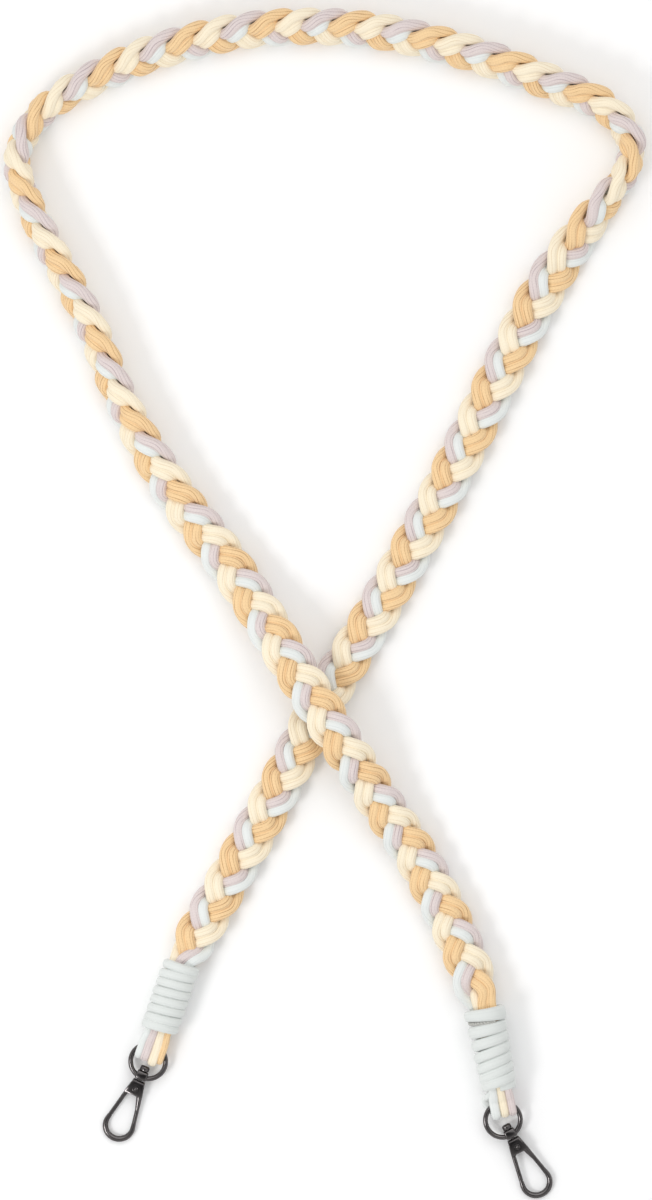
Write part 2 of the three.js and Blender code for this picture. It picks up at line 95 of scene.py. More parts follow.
# girth is in mm, bumpDistance in metres, and the scales are per metre
weave = {
    "ribs": 10, "girth": 11.8, "ribRoundness": 0.6, "stitches": 1.3, "chevron": 0.55, "stitchDepth": 0.4,
    # the line keys set the painted shade in the grooves between ribs, and stitchShade the painted shade in the
    # gaps between stitches
    "lineSharpness": 3.2, "lineSpread": 3.7, "lineDrift": 0.16, "lineStart": 0.36, "lineContrast": 3.4,
    "faintestLine": 0.12, "stitchShade": 0.1, "mostShade": 0.9, "warmShare": 0.5,
    "blotchScale": 75, "fuzzScale": 2600, "fuzzHeight": 0.25, "bumpDistance": 0.00022,
    "roughness": 0.82, "specular": 0.3, "sheen": 0.2, "sheenRoughness": 0.5,
}
# shade is each finish's painted shade colour for the grooves, and lines is how strongly the grooves are
# darkened with it
finishes = {
    "tan": {"colour": (0.87, 0.605, 0.325), "shade": (0.40, 0.19, 0.07), "warm": (0.93, 0.70, 0.41),
            "lines": 1.15, "relief": 0.5},
    "cream": {"colour": (0.90, 0.80, 0.615), "shade": (0.58, 0.41, 0.23), "warm": (0.94, 0.855, 0.68),
              "lines": 0.7, "relief": 0.3},
    "mauve": {"colour": (0.715, 0.63, 0.615), "shade": (0.34, 0.25, 0.27), "warm": (0.76, 0.665, 0.64),
              "lines": 1.05, "relief": 0.5},
    "white": {"colour": (0.745, 0.775, 0.758), "shade": (0.44, 0.47, 0.47), "warm": (0.82, 0.83, 0.805),
              "lines": 0.5, "relief": 0.22},
    "woundWhite": {"colour": (0.68, 0.712, 0.693), "shade": (0.40, 0.43, 0.43), "warm": (0.755, 0.765, 0.74),
                   "lines": 0.2, "relief": 0.26},
    "cutTail": {"colour": (0.50, 0.50, 0.47), "shade": (0.14, 0.13, 0.12), "warm": (0.66, 0.66, 0.62),
                "lines": 1.0, "relief": 0.5},
}


def cordMaterial(name, finish):
    # ribs run along the cord and are made of slanting stitches; painted shade darkens the grooves between ribs
    # here and there, and the gaps between stitches
    material, tree, shader = newMaterial(name)

    def calc(operation, first, second=None):
        return mathNode(tree, operation, first, second)

    uv = tree.nodes.new("ShaderNodeUVMap")
    uv.uv_map = "cord"
    split = tree.nodes.new("ShaderNodeSeparateXYZ")
    tree.links.new(uv.outputs[0], split.inputs[0])
    roundIt, alongIt = split.outputs[0], split.outputs[1]
    around = calc("MULTIPLY", roundIt, weave["ribs"])
    within = calc("FRACT", around)
    fromMiddle = calc("ABSOLUTE", calc("SUBTRACT", within, 0.5))
    rib = calc("SINE", calc("MULTIPLY", within, math.pi))
    slope = calc("MULTIPLY", fromMiddle, weave["chevron"] * 2)
    stitchRun = calc("MULTIPLY", alongIt, weave["stitches"])
    withinStitch = calc("FRACT", calc("ADD", stitchRun, slope))
    stitch = calc("SINE", calc("MULTIPLY", withinStitch, math.pi))
    crown = calc("ADD", calc("MULTIPLY", stitch, weave["stitchDepth"]), 1 - weave["stitchDepth"])
    yarn = calc("MULTIPLY", calc("POWER", rib, weave["ribRoundness"]), crown)

    # the painted shade in each groove between two ribs comes and goes along the cord in its own way
    lineNumber = calc("FLOOR", calc("ADD", around, 0.5))
    lineSpot = tree.nodes.new("ShaderNodeCombineXYZ")
    tree.links.new(calc("MULTIPLY", lineNumber, weave["lineSpread"]), lineSpot.inputs[0])
    tree.links.new(calc("MULTIPLY", alongIt, weave["lineDrift"]), lineSpot.inputs[1])
    streak = noiseNode(tree, lineSpot.outputs[0], scale=1, detail=2)
    grooveShadeStrength = calc("MULTIPLY", calc("SUBTRACT", streak, weave["lineStart"]), weave["lineContrast"])
    grooveShadeStrength = calc("MINIMUM", calc("MAXIMUM", grooveShadeStrength, weave["faintestLine"]), 1.0)

    place = tree.nodes.new("ShaderNodeTexCoord").outputs["Object"]
    blotch = noiseNode(tree, place, weave["blotchScale"], detail=3)
    fuzz = noiseNode(tree, place, weave["fuzzScale"], detail=2)
    base = mixColour(tree, calc("MULTIPLY", blotch, weave["warmShare"]), finish["colour"], finish["warm"])
    # painted shade: the colour is mixed towards the shade colour in the grooves between ribs and in the gaps
    # between stitches
    line = calc("POWER", calc("SUBTRACT", 1.0, rib), weave["lineSharpness"])
    paintedGrooveShade = calc("MULTIPLY", grooveShadeStrength, line)
    between = calc("MULTIPLY", calc("SUBTRACT", 1.0, stitch), weave["stitchShade"])
    shadeShare = calc("MULTIPLY", calc("ADD", paintedGrooveShade, between), finish["lines"])
    shadeShare = calc("MINIMUM", shadeShare, weave["mostShade"])
    tree.links.new(mixColour(tree, shadeShare, base, finish["shade"]), shader.inputs["Base Color"])
    shader.inputs["Roughness"].default_value = weave["roughness"]
    shader.inputs["Specular IOR Level"].default_value = weave["specular"]
    shader.inputs["Sheen Weight"].default_value = weave["sheen"]
    shader.inputs["Sheen Roughness"].default_value = weave["sheenRoughness"]
    height = calc("ADD", yarn, calc("MULTIPLY", fuzz, weave["fuzzHeight"]))
    tree.links.new(bumpNode(tree, height, weave["bumpDistance"], finish["relief"]), shader.inputs["Normal"])
    return material


plating = {
    "dark": (0.084, 0.078, 0.078), "light": (0.168, 0.156, 0.156),
    "tint": (0.3, 0.29, 0.29, 1),  # keeps the rims of round bars dark
    "cloudScale": 260, "grainScale": 3200, "roughness": 0.1, "roughnessSpread": 0.14,
    "bumpDistance": 0.00002, "relief": 0.35,
}


def metalMaterial(name):
    material, tree, shader = newMaterial(name)
    place = tree.nodes.new("ShaderNodeTexCoord").outputs["Object"]
    cloud = noiseNode(tree, place, plating["cloudScale"], detail=4)
    grain = noiseNode(tree, place, plating["grainScale"], detail=2)
    tree.links.new(mixColour(tree, cloud, plating["dark"], plating["light"]), shader.inputs["Base Color"])
    shader.inputs["Metallic"].default_value = 1
    shader.inputs["Specular Tint"].default_value = plating["tint"]
    spread = mathNode(tree, "MULTIPLY", cloud, plating["roughnessSpread"])
    tree.links.new(mathNode(tree, "ADD", spread, plating["roughness"]), shader.inputs["Roughness"])
    tree.links.new(bumpNode(tree, grain, plating["bumpDistance"], plating["relief"]), shader.inputs["Normal"])
    return material


cordLooks = {look: cordMaterial(look + "Polyester", finish) for look, finish in finishes.items()}
gunmetal = metalMaterial("gunmetalPlating")
print("materials made")


# cords
def smoothRun(points, perSpan):
    # the same smooth line through the points as the solids follow
    points = [np.array(p, float) for p in points]
    padded = [2 * points[0] - points[1], *points, 2 * points[-1] - points[-2]]
    line = []
    for i in range(1, len(padded) - 2):
        p0, p1, p2, p3 = padded[i - 1:i + 3]
        d0, d1, d2 = (max(np.linalg.norm(b - a), 1e-6) ** 0.5 for a, b in ((p0, p1), (p1, p2), (p2, p3)))
        t1 = ((p1 - p0) / d0 - (p2 - p0) / (d0 + d1) + (p2 - p1) / d1) * d1
        t2 = ((p2 - p1) / d1 - (p3 - p1) / (d1 + d2) + (p3 - p2) / d2) * d1
        square, cube = 3 * (p2 - p1) - 2 * t1 - t2, 2 * (p1 - p2) + t1 + t2
        last = 1 if i == len(padded) - 3 else 0
        for t in np.linspace(0, 1, perSpan + last, endpoint=bool(last)):
            line.append(p1 + t1 * t + square * t * t + cube * t ** 3)
    return np.array(line)


def lengthAlong(line):
    return np.concatenate([[0], np.cumsum(np.linalg.norm(np.diff(line, axis=0), axis=1))])


def unit(vectors):
    return vectors / np.linalg.norm(vectors, axis=1)[:, None]


def softened(values, reach):
    # rounds off the corners of a column between its rows
    kernel = np.hanning(2 * reach + 1)
    padded = np.pad(values, reach, mode="edge")
    return np.convolve(padded, kernel / kernel.sum(), "valid")


def tube(name, centre, across, rise, halfWidth, halfHeight, look, sides=28, square=0.84):
    # a cord's skin, with a map that runs round it and along it; square is 1 for a round section
    count = len(centre)
    run = lengthAlong(centre)
    halfWidth = np.broadcast_to(halfWidth, count)
    halfHeight = np.broadcast_to(halfHeight, count)
    angle = 2 * np.pi * np.arange(sides) / sides
    x = np.sign(np.cos(angle)) * np.abs(np.cos(angle)) ** square
    y = np.sign(np.sin(angle)) * np.abs(np.sin(angle)) ** square
    spots = (centre[:, None, :] + across[:, None, :] * (x[None, :, None] * halfWidth[:, None, None])
             + rise[:, None, :] * (y[None, :, None] * halfHeight[:, None, None]))
    spots = spots.reshape(-1, 3)
    ring, around = np.meshgrid(np.arange(count - 1), np.arange(sides), indexing="ij")
    after = (around + 1) % sides
    near, far = ring * sides, (ring + 1) * sides
    quads = np.stack([near + around, near + after, far + after, far + around], -1).reshape(-1, 4)
    faces = [tuple(q) for q in quads.tolist()]
    faces.append(tuple(range(sides - 1, -1, -1)))
    faces.append(tuple((count - 1) * sides + k for k in range(sides)))
    mesh = bpy.data.meshes.new(name)
    mesh.from_pydata([tuple(p) for p in (spots * mm).tolist()], [], faces)
    layer = mesh.uv_layers.new(name="cord")
    low, high = around / sides, (around + 1) / sides
    start, stop = (run[at] / weave["girth"] * weave["ribs"] for at in (ring, ring + 1))
    corners = [np.stack(corner, -1) for corner in ((low, start), (high, start), (high, stop), (low, stop))]
    coords = np.stack(corners, -2).reshape(-1, 2)
    total = np.zeros((len(mesh.loops), 2))
    total[:len(coords)] = coords
    layer.data.foreach_set("uv", total.ravel())
    mesh.polygons.foreach_set("use_smooth", [True] * len(mesh.polygons))
    mesh.materials.append(cordLooks[look])
    mesh.update()
    piece = bpy.data.objects.new(name, mesh)
    bpy.context.scene.collection.objects.link(piece)
    return piece


# the plait
layout = {"loopWidth": 248, "loopLength": 460, "halfWidth": 8.6, "halfHeight": 5.45}  # as in the solids

# across and along as shares of the loop, roll in degrees, lift in thicknesses, and turns of the plait:
# its run from the left whipping round to the right one
route = np.array([
    (-0.248, -0.338, 0, 0.17, -4.12), (-0.221, -0.302, 0, 0.17, -4.12),
    (-0.2055, -0.2864, 0, 0.12, -3.89), (-0.176, -0.258, 0, 0.05, -3.45),
    (-0.127, -0.211, 0, 0.00, -2.74), (-0.059, -0.143, 0, 0.00, -1.70), (0.001, -0.080, 0, 0.00, -0.74),
    (0.081, -0.008, 0, 0.00, 0.39), (0.156, 0.065, 0, 0.00, 1.53), (0.227, 0.140, 0, 0.00, 2.67),
    (0.295, 0.215, 0, 0.00, 3.76), (0.338, 0.260, 12, 0.00, 4.41), (0.380, 0.295, 31, 0.00, 4.95),
    (0.416, 0.322, 52, 0.00, 5.40), (0.444, 0.342, 72, 0.00, 5.75), (0.467, 0.360, 88, 0.00, 6.05),
    (0.475, 0.384, 103, 0.00, 6.42), (0.441, 0.411, 114, 0.00, 6.94), (0.350, 0.434, 123, 0.00, 7.75),
    (0.205, 0.462, 125, 0.00, 8.94), (0.054, 0.479, 125, 0.00, 10.16), (-0.103, 0.479, 125, 0.00, 11.43),
    (-0.255, 0.461, 125, 0.00, 12.62), (-0.341, 0.442, 120, 0.00, 13.33), (-0.409, 0.422, 110, 0.00, 13.89),
    (-0.445, 0.406, 102, 0.00, 14.23), (-0.467, 0.388, 93, 0.00, 14.54), (-0.478, 0.368, 85, 0.00, 14.86),
    (-0.465, 0.341, 75, 0.00, 15.27), (-0.436, 0.306, 68, 0.00, 15.78), (-0.370, 0.239, 62, 0.00, 16.83),
    (-0.310, 0.162, 58, 0.00, 17.97), (-0.232, 0.090, 31, 0.00, 19.10), (-0.157, 0.037, 10, 0.05, 20.05),
    (-0.105, -0.005, 0, 0.35, 20.76), (-0.056, -0.048, 0, 0.98, 21.48), (-0.015, -0.083, 0, 1.08, 22.09),
    (0.027, -0.119, 0, 1.04, 22.67), (0.082, -0.165, 0, 0.36, 23.45), (0.146, -0.217, 0, 0.00, 24.40),
    (0.202, -0.277, 0, 0.03, 25.42), (0.231, -0.316, 0, 0.13, 26.03), (0.2395, -0.3305, 0, 0.18, 26.18),
    (0.246, -0.341, 0, 0.22, 26.18), (0.257, -0.374, 0, 0.22, 26.18),
])
plait = {
    "gather": 9, "easing": 20, "seat": 12, "spanSteps": 60, "stations": 1150,
    "rollSoftening": 12, "endSoftening": 5,  # in stations
    "bundleSwing": 1.5, "bundleRise": 2.85, "pairSpacing": 3.3,
    "cordHalfWidth": 2.0, "cordHalfHeight": 1.95, "edgeFullness": 0.08, "swell": 0.03, "swellRuns": (7.3, 23.1),
    # how one cord of a pair lies over a pitch, as waves about its outermost point
    "acrossWaves": (1.489, 4.988, 0.062, 0.361, -0.052, -0.196, 0.111),
    "upWaves": (0, 0.085, -2.847, 0.528, 0.152, 0.067, -0.064),
    "alongWaves": (0, 0.950, 0.635, 0.069, -0.300, 0.159, 0.060),
}
roll = np.radians(route[:, 2])
lift = route[:, 3] * 2 * layout["halfHeight"]
standing = np.hypot(layout["halfWidth"] * np.sin(roll), layout["halfHeight"] * np.cos(roll)) + lift
rows = np.stack([route[:, 0] * layout["loopWidth"], route[:, 1] * layout["loopLength"], standing], 1)
middleLine = smoothRun(rows, plait["spanSteps"])
middleRun = lengthAlong(middleLine)
rowRun = middleRun[::plait["spanSteps"]]
mouths = rowRun[1], rowRun[-2]
stationRun = np.linspace(mouths[0] - plait["seat"], mouths[1] + plait["seat"], plait["stations"])
stationFullness = np.abs(np.sin(np.interp(stationRun, rowRun, roll)))  # 1 where the plait stands on its edge


def gathered(length):
    # 0 along the plait, rising to 1 over the last stretch before each mouth
    inside = np.maximum(mouths[0] - stationRun, stationRun - mouths[1])
    share = np.clip((inside + length) / length, 0, 1)
    return share * share * (3 - 2 * share)


def waves(sizes, angle, kind):
    return sum(size * kind(n * angle) for n, size in enumerate(sizes))


def plaitPair(shift):
    # the two cords of a strand, each as middle, across and rise at each station
    middle = np.stack([np.interp(stationRun, middleRun, middleLine[:, k]) for k in range(3)], 1)
    forward = unit(np.gradient(middle, axis=0))
    left = unit(np.cross([0, 0, 1.0], forward))
    over = np.cross(forward, left)
    turnOver = softened(np.interp(stationRun, rowRun, roll), plait["rollSoftening"])[:, None]
    across = left * np.cos(turnOver) + over * np.sin(turnOver)
    face = -left * np.sin(turnOver) + over * np.cos(turnOver)
    turn = 2 * np.pi * (np.interp(stationRun, rowRun, route[:, 4]) + shift)
    bundled = gathered(plait["gather"])
    lines = []
    for side in (1, -1):
        angle = turn - side * np.pi / 2
        toSide = side * waves(plait["acrossWaves"], angle, np.cos)
        upward = waves(plait["upWaves"], angle, np.sin)
        ahead = waves(plait["alongWaves"], angle, np.sin)
        toSide += bundled * (plait["bundleSwing"] * np.sin(turn) + side * plait["pairSpacing"] / 2 - toSide)
        upward += bundled * (plait["bundleRise"] * np.sin(2 * turn) - upward)
        ahead *= 1 - bundled
        line = middle + across * toSide[:, None] + face * upward[:, None] + forward * ahead[:, None]
        eased = np.stack([softened(line[:, k], plait["endSoftening"]) for k in range(3)], 1)
        lines.append(line + (eased - line) * gathered(plait["easing"])[:, None])
    for mine, other, side in ((lines[0], lines[1], 1), (lines[1], lines[0], -1)):
        onward = unit(np.gradient(mine, axis=0))
        apart = (mine - other) * side
        apart = unit(apart - onward * np.sum(apart * onward, 1)[:, None])
        yield mine, apart, np.cross(onward, apart)


strands = [
    {"node": "braid_strand_tan", "shift": 0,
     "cords": (("tan", "tan_cord_a"), ("tan", "tan_cord_b"))},
    {"node": "braid_strand_cream", "shift": 1 / 3,
     "cords": (("cream", "cream_cord_a"), ("cream", "cream_cord_b"))},
    {"node": "braid_strand_mauve_white", "shift": 2 / 3,
     "cords": (("mauve", "mauve_cord"), ("white", "white_cord"))},
]
shortRun, longRun = plait["swellRuns"]
for strand in strands:
    for (look, name), (centre, across, rise) in zip(strand["cords"], plaitPair(strand["shift"])):
        at = lengthAlong(centre)
        wander = plait["swell"] * np.sin(at / shortRun + len(name)) * np.sin(at / longRun + 2 * strand["shift"])
        swell = 1 + wander
        fuller = 1 + plait["edgeFullness"] * stationFullness
        cord = tube(name, centre + np.array(settle), across, rise, plait["cordHalfWidth"] * swell * fuller,
                    plait["cordHalfHeight"] * (2 - swell) * fuller, look)
        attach(cord, "strap")
        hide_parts(strand["node"])
print("plait made")

# the strap's two ends: where the whipping starts, which way it points, and how the ring lies beyond it
ends = {
    "left": {"across": -0.221, "along": -0.302, "heading": -109.2, "hookHeading": -114.4,
             "length": 28.2, "radius": 7.3, "endRadius": 7.3, "ringReach": 12.4, "ringSide": 0},
    "right": {"across": 0.246, "along": -0.3395, "heading": -79, "hookHeading": -61.9,
              "length": 32.2, "radius": 7.9, "endRadius": 6.8, "ringReach": 12.1, "ringSide": -0.9},
}


def endMatrix(end):
    spot = Vector((end["across"] * layout["loopWidth"], end["along"] * layout["loopLength"], end["radius"]))
    return Matrix.Translation(spot + settle) @ Matrix.Rotation(math.radians(end["heading"]), 4, "Z")


def placedTube(name, matrix, centre, across, rise, halfWidth, halfHeight, look, **form):
    # a cord that is laid out along X first and then put in its place
    a = np.array(matrix)
    turned, shifted = a[:3, :3].T, a[:3, 3]
    return tube(name, centre @ turned + shifted, across @ turned, rise @ turned, halfWidth, halfHeight, look,
                **form)


# whippings
# places and halfWidths are those of the wound cord at each half turn, first at the right; dives in radians
winding = {
    "halfHeight": 1.7, "stationsPerTurn": 44, "softening": 10, "tuck": 2.4, "dive": 2.83, "square": 0.8,
    "belly": 0.2, "sunk": 0.1, "swell": 0.2, "swellRise": 0.5, "swellShift": 0.6,
    "slowSwell": 2.3, "slowStart": 0.6, "quickSwell": 1.07, "quickStart": 1,
    "left": {"places": (1.8, 2.3, 4.5, 6.1, 7.9, 9.7, 11.5, 13.2, 15.0, 16.7, 18.5, 20.3, 22.0, 23.8,
                        25.5, 26.4),
             "halfWidths": (1.85, 1.85), "lastDive": 2.83, "firstProud": 0.0},
    "right": {"places": (3.1, 2.0, 8.1, 8.7, 11.8, 14.3, 15.6, 19.1, 19.5, 23.5, 23.4, 27.5, 27.3,
                         30.2, 30.7),
              "halfWidths": (2.95, 1.95, 2.3, 2.45, 2.1, 2.25, 2.1), "lastDive": 1.5, "firstProud": 0.45},
}


def atHalfTurns(values, angle):
    return softened(np.interp(angle, math.pi * np.arange(len(values)), values), winding["softening"])


def woundCord(side, end):
    # one cord wound round the bundle: X runs out along the whipping, and both tips dive under the turns
    form = winding[side]
    first, last = -winding["dive"], math.pi * (len(form["places"]) - 1) + form["lastDive"]
    count = int((last - first) / (2 * math.pi) * winding["stationsPerTurn"])
    angle = np.linspace(first, last, count)
    along = atHalfTurns(form["places"], angle)
    halfWidth = atHalfTurns(form["halfWidths"], angle)
    shownFirst = np.clip((angle - first) / winding["dive"], 0, 1)
    shown = np.minimum(shownFirst, np.clip((last - angle) / form["lastDive"], 0, 1))
    shown = shown * shown * (3 - 2 * shown)
    slow = np.sin(angle / winding["slowSwell"] + winding["slowStart"])
    quick = np.sin(angle * winding["quickSwell"] + winding["quickStart"])
    swell = winding["swell"] * slow * quick
    share = along / end["length"]
    taper = end["radius"] + (end["endRadius"] - end["radius"]) * share
    outer = taper + winding["belly"] * np.sin(np.pi * share) - winding["sunk"] + winding["swellRise"] * swell
    outer += form["firstProud"] * np.clip(1 - (angle - math.pi) / math.pi, 0, 1)
    radius = outer - winding["halfHeight"] - winding["tuck"] * (1 - shown)
    outward = np.stack([np.zeros(count), np.cos(angle), np.sin(angle)], 1)
    centre = outward * radius[:, None]
    centre[:, 0] = along + winding["swellShift"] * swell * shown
    forward = unit(np.gradient(centre, axis=0))
    across = unit(np.cross(outward, forward))
    return placedTube(f"whipping_cord_{side}", endMatrix(end), centre, across, np.cross(forward, across),
                      halfWidth, winding["halfHeight"], "woundWhite", square=winding["square"])


# from and to in radians round the whipping, the rest in mm
tail = {
    "from": 1.0, "to": 3.3, "startAlong": 6.0, "endAlong": 5.0, "depth": 1.75,
    "twist": 0.45, "pitch": 2.3, "thickness": 0.52, "stations": 90, "sides": 12,
}


def cutTail(end, part):
    # half of the twisted cut end that shows between the first two turns
    count = tail["stations"]
    angle = np.linspace(tail["from"], tail["to"], count)
    radius = end["radius"] - tail["depth"]
    spin = 2 * np.pi * (angle - tail["from"]) * radius / tail["pitch"] + math.pi * part
    outward = np.stack([np.zeros(count), np.cos(angle), np.sin(angle)], 1)
    line = outward * (radius + tail["twist"] * np.sin(spin))[:, None]
    line[:, 0] = np.linspace(tail["startAlong"], tail["endAlong"], count) + tail["twist"] * np.cos(spin)
    forward = unit(np.gradient(line, axis=0))
    across = unit(np.cross(outward, forward))
    return placedTube(f"whipping_tail_{part}", endMatrix(end), line, across, np.cross(forward, across),
                      tail["thickness"], tail["thickness"], "cutTail", sides=tail["sides"], square=1)


for side, end in ends.items():
    wound = woundCord(side, end)
    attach(wound, "strap")
    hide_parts(f"whipping_{side}")
for part in (0, 1):
    wisp = cutTail(ends["right"], part)
    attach(wisp, "strap")
print("whippings made")

# loops of cord over the rings
ring = {"radius": 6.75, "wire": 0.95, "height": 4.4, "tilt": 5.2}

# half is half the cord's width, drop a share of the ring's reach, and the rest are shares of its radius
loops = [
    {"side": "left", "cord": "white", "half": 1.4, "drop": 1.00,
     "place": -0.66, "bound": -0.58, "back": -0.66},
    {"side": "left", "cord": "mauve", "half": 1.85, "drop": 1.02,
     "place": -0.27, "bound": -0.23, "back": -0.27},
    {"side": "left", "cord": "cream", "half": 1.8, "drop": 1.10,
     "place": 0.24, "bound": 0.19, "back": 0.24},
    {"side": "left", "cord": "tan", "half": 1.4, "drop": 0.98,
     "place": 0.60, "bound": 0.55, "back": 0.60},
    {"side": "right", "cord": "white", "half": 1.85, "drop": 0.96,
     "place": -0.46, "bound": -0.40, "back": -0.84},
    {"side": "right", "cord": "cream", "half": 1.6, "drop": 0.93,
     "place": 0.05, "bound": 0.04, "back": 0.05},
    {"side": "right", "cord": "mauve", "half": 1.6, "drop": 0.92,
     "place": 0.50, "bound": 0.47, "back": 0.48},
]
loopSizes = {
    "radius": 1.4, "halfHeight": 1.45, "clearance": 0.3, "ringGap": 1.8, "legGap": 1.5,  # gaps in clearances
    "bundled": 0.9, "bundledReach": 3, "mouth": 0.6, "front": 0.45, "frontRise": 0.2,
    "behind": 0.33, "behindRise": 0.1, "bendBack": 0.3, "bendOut": 0.72, "steps": 14,
}


def cordLoop(row):
    end, form = ends[row["side"]], loopSizes
    place, bound, back = (row[key] * ring["radius"] for key in ("place", "bound", "back"))
    wire = ring["height"] - end["radius"]
    reach = ring["wire"] + form["ringGap"] * form["clearance"] + form["radius"]
    drop = row["drop"] * end["ringReach"] - form["radius"]
    seat = -0.5 * end["length"]
    legRise = form["radius"] * form["bundled"] + form["legGap"] * form["clearance"]
    bendBack, bendOut = form["bendBack"] * reach, form["bendOut"] * reach
    line = smoothRun([
        (seat, bound, legRise), (form["mouth"], bound, legRise),
        (drop * form["front"], place, wire + reach + form["frontRise"]), (drop - reach, place, wire + reach),
        (drop - bendBack, place, wire + bendOut), (drop, place, wire), (drop - bendBack, place, wire - bendOut),
        (drop - reach, (place + back) / 2, wire - reach),
        (drop * form["behind"], back, wire - reach + form["behindRise"]),
        (form["mouth"], bound, -legRise), (seat, bound, -legRise),
    ], form["steps"])
    forward = unit(np.gradient(line, axis=0))
    across = unit(np.array([0, 1.0, 0]) - forward * forward[:, 1:2])
    size = 1 + (form["bundled"] - 1) * np.clip(1 - line[:, 0] / form["bundledReach"], 0, 1)
    matrix = endMatrix(end) @ Matrix.Translation((end["length"], 0, 0))
    return placedTube(f"{row['cord']}_loop_{row['side']}", matrix, line, across, np.cross(forward, across),
                      row["half"] * size, form["halfHeight"] * size, row["cord"])


for row in loops:
    loop = cordLoop(row)
    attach(loop, "strap")
    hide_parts(f"cord_loop_{row['side']}_{row['cord']}")
print("loops made")


# rings, swivels, snap hooks and gates, each modelled flat at the centre and then laid in its place
def hardwareMatrix(end):
    tilt = math.radians(ring["tilt"])
    drop = ring["radius"] * math.sin(tilt)
    reach = end["length"] + end["ringReach"]
    out = Matrix.Translation((reach, end["ringSide"], ring["height"] - end["radius"] - drop))
    turn = Matrix.Rotation(math.radians(end["hookHeading"] - end["heading"]), 4, "Z")
    return endMatrix(end) @ out @ turn @ Matrix.Rotation(tilt, 4, "Y")


def addBlock(low, high):
    # a block between two corners, left selected and active
    bpy.ops.object.select_all(action="DESELECT")
    bpy.ops.mesh.primitive_cube_add(size=1, location=[(a + b) / 2 * mm for a, b in zip(low, high)])
    block = bpy.context.object
    block.scale = [(b - a) * mm for a, b in zip(low, high)]
    bpy.ops.object.transform_apply(location=True, rotation=True, scale=True)
    return block


def addPin(radius, low, high, at=(0, 0), axis="Z", sides=32):
    # a round pin from low to high along its axis
    bpy.ops.object.select_all(action="DESELECT")
    turned = (0, math.pi / 2, 0) if axis == "X" else (0, 0, 0)
    middle = (low + high) / 2
    spot = (middle, at[0], at[1]) if axis == "X" else (at[0], at[1], middle)
    bpy.ops.mesh.primitive_cylinder_add(vertices=sides, radius=radius * mm, depth=(high - low) * mm,
                                        location=[v * mm for v in spot], rotation=turned)
    bpy.ops.object.transform_apply(location=True, rotation=True, scale=True)
    return bpy.context.object


def addBar(points, radii, name):
    # a round bar along a line of points, closed at both ends
    curve = bpy.data.curves.new(name, "CURVE")
    curve.dimensions = "3D"
    curve.bevel_depth = mm
    curve.bevel_resolution = 5
    curve.use_fill_caps = True
    spline = curve.splines.new("POLY")
    spline.points.add(len(points) - 1)
    for spot, point, radius in zip(spline.points, points, radii):
        spot.co = (point[0] * mm, point[1] * mm, 0, 1)
        spot.radius = radius
    bar = bpy.data.objects.new(name, curve)
    bpy.context.scene.collection.objects.link(bar)
    bpy.ops.object.select_all(action="DESELECT")
    bar.select_set(True)
    bpy.context.view_layer.objects.active = bar
    bpy.ops.object.convert(target="MESH")
    return bpy.context.object


def chosenFaces(piece, wanted):
    # selects the faces whose normals are wanted, and stays in edit mode
    bpy.ops.object.select_all(action="DESELECT")
    piece.select_set(True)
    bpy.context.view_layer.objects.active = piece
    bpy.ops.object.mode_set(mode="EDIT")
    bpy.ops.mesh.select_mode(type="FACE")
    bpy.ops.mesh.select_all(action="DESELECT")
    bpy.ops.object.mode_set(mode="OBJECT")
    for face in piece.data.polygons:
        face.select = bool(wanted(face.normal))
    bpy.ops.object.mode_set(mode="EDIT")


def insetBy(thickness):
    bpy.ops.mesh.inset(thickness=thickness * mm, use_individual=True)


def applied(piece, kind, **settings):
    bpy.ops.object.select_all(action="DESELECT")
    piece.select_set(True)
    bpy.context.view_layer.objects.active = piece
    modifier = piece.modifiers.new(kind.lower(), kind)
    for key, value in settings.items():
        setattr(modifier, key, value)
    bpy.ops.object.modifier_apply(modifier=modifier.name)


def cutBy(piece, tool):
    applied(piece, "BOOLEAN", operation="DIFFERENCE", solver="EXACT", object=tool)
    bpy.data.objects.remove(tool)


def softEdges(piece, width, steps=3, corner=35):
    applied(piece, "BEVEL", width=width * mm, segments=steps, limit_method="ANGLE",
            angle_limit=math.radians(corner))


def joined(name, parts, smoothUpTo=38):
    bpy.ops.object.select_all(action="DESELECT")
    for part in parts:
        part.select_set(True)
    bpy.context.view_layer.objects.active = parts[0]
    bpy.ops.object.join()
    whole = bpy.context.object
    whole.name = name
    bpy.ops.object.shade_smooth_by_angle(angle=math.radians(smoothUpTo))
    return whole


# X runs from the ring's middle out to the hook
overcut = 1  # how far a cut goes past the piece
facing = 0.9  # how squarely a chosen face looks along its axis
boss = {"start": 4.3, "end": 7.65, "width": 5.4, "height": 4.0,
        "outerEnd": (1, 0.84, 0.9), "innerEnd": (1, 0.8, 0.86), "edge": 0.55}
post = {"radius": 0.85, "clearance": 0.3, "seat": 0.4,
        "headRadius": 1.8, "headHeight": 1.6, "headInset": 0.5, "headDome": 0.25, "headEdge": 0.3}
plate = {"start": 8.2, "length": 6, "topWidth": 4.65, "endWidth": 7.2, "cornerSpare": 0.3, "height": 3.2,
         "endHeight": 0.86, "faceInset": 0.55, "faceSwell": 1.07, "edge": 0.26,
         "slopeStart": 0.35, "slopeDepth": 0.22, "slopeAngle": 42, "slotHeight": 1.5, "slotDepth": 4.5,
         "wedge": ((-2, -4, 0), (2, 4, 2))}
bar = {"bowlReach": 19.1, "bowlRadius": 6.35, "wire": 2.0, "bowlWire": 1.16, "sideWire": 1.6, "seat": 0.6,
       "bowlStart": 3, "growth": 0.8, "sideSteps": 60, "bowlSteps": 97}
shoulderBar = {"radius": 1.15, "start": -0.7, "length": 6.2, "stepIn": 0.12, "stations": 16}
tongueBar = {"into": 0.4, "gap": 0.06, "girth": 0.8}
